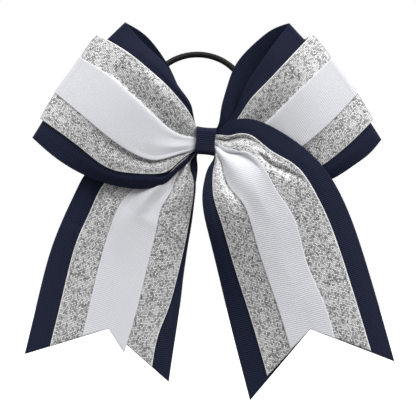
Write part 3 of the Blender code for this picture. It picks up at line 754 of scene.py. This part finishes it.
def plain_fibre(name, low, high, roughness, scale):
    """A soft solid colour that mottles between two tones."""
    material, tree, shader = new_material(name, roughness)
    coordinate = tree.nodes.new("ShaderNodeTexCoord").outputs["Object"]
    fleck = noise(tree, coordinate, scale, 3.0)
    tree.links.new(mix_colour(tree, fleck, low, high), shader.inputs["Base Color"])
    add_bump(tree, shader, fleck, 0.3, 0.0001)
    return material


# ---------------------------------------------------------------- centre wrap

WRAP_CORNERS = ((9.0, -3.2), (9.0, 6.9), (-7.7, 6.9), (-7.7, -6.9), (10.6, -6.9), (10.6, 4.2))
WRAP_CORNER_RADIUS = 2.3
WRAP_THICKNESS = 0.6
WRAP_LEAN = math.radians(4.8)
WRAP_WAIST = 0.25
WRAP_WAIST_HEIGHT = 3.5
WRAP_CROWN = 0.28
WRAP_EDGE_DROP = 0.12


def rounded_path(corners, radius, steps):
    """A line through the corners with an arc of the given radius at each inner corner."""
    corners = np.array(corners, float)
    path = [corners[:1]]
    for before, corner, after in zip(corners, corners[1:], corners[2:]):
        back = (before - corner) / np.linalg.norm(before - corner)
        on = (after - corner) / np.linalg.norm(after - corner)
        angle = np.linspace(0, math.pi / 2, steps)[:, None]
        centre = corner + (back + on) * radius
        path.append(centre - on * radius * np.cos(angle) - back * radius * np.sin(angle))
    path.append(corners[-1:])
    return np.vstack(path)


def make_wrap():
    """A narrow ribbon that goes once round the knot and laps over its own start at the back.

    Its path is a rounded rectangle in Y and Z. Its width has a slight waist in front, and its face crowns.
    """
    path = rounded_path(WRAP_CORNERS, WRAP_CORNER_RADIUS, 9)
    walked = travelled(path)
    even = np.linspace(0, walked[-1], 220)
    path = np.column_stack([np.interp(even, walked, path[:, axis]) for axis in range(2)])
    columns = np.linspace(-1, 1, 25)
    waist = WRAP_WAIST * np.exp(-((path[:, 1] / WRAP_WAIST_HEIGHT) ** 2)) * (path[:, 0] < 0)
    out = np.column_stack([-np.gradient(path[:, 1]), np.gradient(path[:, 0])])
    out /= np.linalg.norm(out, axis=1, keepdims=True)
    crown = WRAP_CROWN * (1 - columns**2) - WRAP_EDGE_DROP * columns**8
    points = np.zeros((len(path), len(columns), 3))
    points[..., 0] = (WRAP_WIDTH / 2 - waist)[:, None] * columns
    points[..., 1:] = path[:, None] + out[:, None] * crown[None, :, None]
    uv_across = np.broadcast_to(columns * WRAP_WIDTH / 2, points.shape[:2])
    uv = np.dstack([uv_across, even[:, None] + 0 * columns]) * MM
    cosine = math.cos(WRAP_LEAN)
    sine = math.sin(WRAP_LEAN)
    turn = np.array([[cosine, 0, sine], [0, 1, 0], [-sine, 0, cosine]])
    mesh = grid_mesh("centre_wrap_band", points @ turn.T * MM, uv)
    piece = add_piece("centre_wrap_band", mesh, wrap_material)
    thicken(piece, WRAP_THICKNESS * MM)
    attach(piece, "root")
    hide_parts("centre_wrap")


# ---------------------------------------------------------------- hair tie

TIE_RADIUS = 1.6
TIE_PIVOT = (6.5, -2.9)  # Y and Z of the line it turns on, inside the wrap
TIE_LEAN = math.radians(22)
TIE_RING_RADIUS = 26.0
TIE_RING_CENTRE = (-4.3, 26.9)
TIE_STRAIGHT = 5.6
TIE_ARC = (-50, 231, 14)  # degrees of the ring's round part: first, last, step
TIE_JOIN_ANGLE = math.radians(196)
TIE_JOIN_LENGTH = 9.0
TIE_JOIN_RADIUS = 2.1
TIE_JOIN_GAP = 0.1
TIE_SIDES = 40
BRAID_PITCH = 4.2
BRAID_STRANDS = 8
BRAID_RELIEF = 0.07  # share of the radius


def on_tie_circle(angle):
    """Points of the ring's circle, in the ring's own plane."""
    return np.column_stack([np.cos(angle), np.sin(angle)]) * TIE_RING_RADIUS + TIE_RING_CENTRE


def tie_centre_line(count):
    """Evenly spaced points of the ring's closed centre line from the middle of its join, and its length."""
    circle = on_tie_circle(np.radians(np.arange(*TIE_ARC)))
    end = TIE_STRAIGHT
    inside = [(-end - 1, 0.1), (-end, 0), (0, 0), (end, 0), (end + 1, 0.1)]
    loop = np.vstack([circle, inside])
    wrapped = np.vstack([loop[-3:], loop, loop[:4]])
    walked = travelled(wrapped)
    even = np.linspace(walked[3], walked[3 + len(loop)], 1440, endpoint=False)
    curve = natural_spline(walked, wrapped, even)
    from_join = np.linalg.norm(curve - on_tie_circle(np.array([TIE_JOIN_ANGLE])), axis=1)
    curve = np.roll(curve, -int(np.argmin(from_join)), axis=0)
    curve = np.vstack([curve, curve[:1]])
    y = TIE_PIVOT[0] + curve[:, 1] * math.sin(TIE_LEAN)
    z = TIE_PIVOT[1] + curve[:, 1] * math.cos(TIE_LEAN)
    points = np.column_stack([curve[:, 0], y, z])
    walked = travelled(points)
    even = np.linspace(0, walked[-1], count)
    return np.column_stack([np.interp(even, walked, points[:, axis]) for axis in range(3)]), walked[-1]


def tube_around(line, radius, angle):
    """Points[row, side] round a centre line, whose radius may vary by row and side."""
    forward = np.gradient(line, axis=0)
    forward /= np.linalg.norm(forward, axis=1, keepdims=True)
    plane_normal = np.array([0, math.cos(TIE_LEAN), -math.sin(TIE_LEAN)])
    outward = np.cross(forward, plane_normal)
    ring = outward[:, None] * np.cos(angle)[None, :, None] + plane_normal * np.sin(angle)[None, :, None]
    return line[:, None] + ring * radius[..., None]


def close_end(points):
    """The rows between two rounded shoulders that shrink onto the centre line and close both ends."""
    first = points[0].mean(axis=0)
    last = points[-1].mean(axis=0)
    caps = [(first + (points[0] - first) * s)[None] for s in (0.001, 0.5, 0.85)]
    ends = [(last + (points[-1] - last) * s)[None] for s in (0.85, 0.5, 0.001)]
    return np.concatenate(caps + [points] + ends)


def add_tie_piece(name, node, points):
    """A closed piece of the hair tie that takes the place of a CAD node."""
    piece = add_piece(name, grid_mesh(name, close_end(points) * MM, closed=True), black)
    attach(piece, "hair_tie")
    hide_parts(node)


def make_hair_tie():
    """The braided cord, and the sleeve that joins its two ends.

    The cord's radius rises where two families of crossing strands pass over each other.
    """
    line, total = tie_centre_line(1500)
    walked = np.linspace(0, total, len(line))
    half = TIE_JOIN_LENGTH / 2
    angle = np.linspace(0, 2 * math.pi, TIE_SIDES, endpoint=False)
    keep = (walked > half + TIE_JOIN_GAP) & (walked < total - half - TIE_JOIN_GAP)
    phase = 2 * math.pi * walked[keep][:, None] / BRAID_PITCH
    one = np.sin(BRAID_STRANDS / 2 * angle + phase * 2) ** 2
    other = np.sin(BRAID_STRANDS / 2 * angle - phase * 2) ** 2
    radius = TIE_RADIUS * (1 - BRAID_RELIEF + BRAID_RELIEF * np.maximum(one, other))
    add_tie_piece("hair_tie_elastic", "hair_tie_cord", tube_around(line[keep], radius, angle))

    around = np.concatenate([line[walked >= total - half][:-1], line[walked <= half]])
    place = np.linspace(-1, 1, len(around))[:, None]
    ridges = 0.05 * np.cos(place * 14 * math.pi)
    radius = TIE_JOIN_RADIUS * (1 - 0.22 * place**8 + ridges) + 0 * angle
    add_tie_piece("hair_tie_sleeve", "hair_tie_join", tube_around(around, radius, angle))


# ---------------------------------------------------------------- studio


LENS = 300.0
SENSOR = 36.0
VIEW_WIDTH = 0.2163  # metres across the view at the bow
VIEW_CENTRE = (0.0013, -0.0348)  # X and Z
FLOOR_HEIGHT = -0.26
FLOOR_HALF = 6.0
# A light's azimuth is counted from the front towards the right, in degrees.
LIGHTS = (  # name, azimuth, elevation, strength, softness in degrees
    ("left_window", -62, 36, 1.0, 40),
    ("right_window", 50, 42, 2.2, 35),
    ("top", 5, 68, 0.8, 35),
    ("back_top", 170, 50, 0.6, 40),
)


def make_camera():
    """A long lens straight in front of the bow, so that it hardly foreshortens."""
    camera = bpy.data.cameras.new("camera")
    camera.lens = LENS
    camera.sensor_width = SENSOR
    holder = bpy.data.objects.new("camera", camera)
    holder.location = (VIEW_CENTRE[0], -VIEW_WIDTH * LENS / SENSOR, VIEW_CENTRE[1])
    holder.rotation_euler = (math.pi / 2, 0, 0)
    bpy.context.scene.collection.objects.link(holder)
    bpy.context.scene.camera = holder


def make_lights():
    """Two broad windows at the sides of the bow and two weaker lights from above."""
    for name, azimuth, elevation, strength, softness in LIGHTS:
        sun = bpy.data.lights.new(name, "SUN")
        sun.energy = strength
        sun.angle = math.radians(softness)
        lamp = bpy.data.objects.new(name, sun)
        lamp.rotation_euler = (math.radians(90 - elevation), 0, math.radians(azimuth))
        bpy.context.scene.collection.objects.link(lamp)


def make_world():
    """Soft light that is strongest from above and weak from below. The backdrop itself reads white."""
    world = bpy.data.worlds.new("studio")
    bpy.context.scene.world = world
    world.use_nodes = True
    tree = world.node_tree
    split = tree.nodes.new("ShaderNodeSeparateXYZ")
    direction = tree.nodes.new("ShaderNodeTexCoord").outputs["Generated"]
    tree.links.new(direction, split.inputs[0])
    above = maths(tree, "MULTIPLY", maths(tree, "MAXIMUM", split.outputs[2], 0.0), 0.5)
    sides = maths(tree, "MULTIPLY", maths(tree, "ABSOLUTE", split.outputs[0]), 0.25)
    soft = maths(tree, "ADD", maths(tree, "ADD", above, sides), 0.15)
    sees = tree.nodes.new("ShaderNodeLightPath").outputs["Is Camera Ray"]
    unseen = maths(tree, "MULTIPLY", soft, maths(tree, "SUBTRACT", 1.0, sees))
    strength = maths(tree, "ADD", unseen, sees)
    background = tree.nodes["Background"]
    background.inputs["Color"].default_value = (1, 1, 1, 1)
    tree.links.new(strength, background.inputs["Strength"])


def make_floor():
    """A plain pale floor well below the tails. It throws no light back up at them."""
    place = np.linspace(-FLOOR_HALF, FLOOR_HALF, 5)
    x, y = np.meshgrid(place, place)
    points = np.dstack([x, y, np.full_like(x, FLOOR_HEIGHT)])
    material, tree, shader = new_material("pale_floor", 0.9)
    coordinate = tree.nodes.new("ShaderNodeTexCoord").outputs["Object"]
    tone = mix_colour(tree, noise(tree, coordinate, 3.0), (0.93, 0.93, 0.93, 1), (0.95, 0.95, 0.95, 1))
    tree.links.new(tone, shader.inputs["Base Color"])
    floor = add_piece("floor", grid_mesh("floor", points[::-1]), material)
    floor.visible_diffuse = False
    floor.visible_glossy = False


# ---------------------------------------------------------------- assembly

black = elastic_material()
make_camera()
make_lights()
make_world()
make_floor()
make_wrap()
make_loop(
    "left", -1, LEFT_LOOP_FRONT, LEFT_LOOP_BACK_TOP, LEFT_FOLD_REACH, LEFT_FRONT_DEPTH, LEFT_LOOP_PLEATS,
)
make_loop(
    "right", 1, RIGHT_LOOP_FRONT, RIGHT_LOOP_BACK_TOP, RIGHT_FOLD_REACH, RIGHT_FRONT_DEPTH, RIGHT_LOOP_PLEATS,
)
make_tail("left", -1, LEFT_TAIL_SHAPE)
make_tail("right", 1, RIGHT_TAIL_SHAPE)
make_hair_tie()

core_material = plain_fibre(
    "pleated_core_ribbon", (0.008, 0.011, 0.027, 1), (0.018, 0.025, 0.06, 1), 0.8, 900,
)
thread_material = plain_fibre("cinch_thread_cotton", (0.6, 0.6, 0.58, 1), (0.85, 0.85, 0.83, 1), 0.8, 1500)
glue_material = plain_fibre("wrap_glue_film", (0.6, 0.57, 0.46, 1), (0.8, 0.78, 0.7, 1), 0.35, 300)
for node, material in (
    ("core_front_pass", core_material),
    ("core_middle_pass", core_material),
    ("core_rear_pass", core_material),
    ("cinch_thread", thread_material),
    ("wrap_glue", glue_material),
):
    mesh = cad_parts[node].data
    mesh.materials.clear()
    mesh.materials.append(material)

bpy.context.scene.view_settings.view_transform = "Standard"
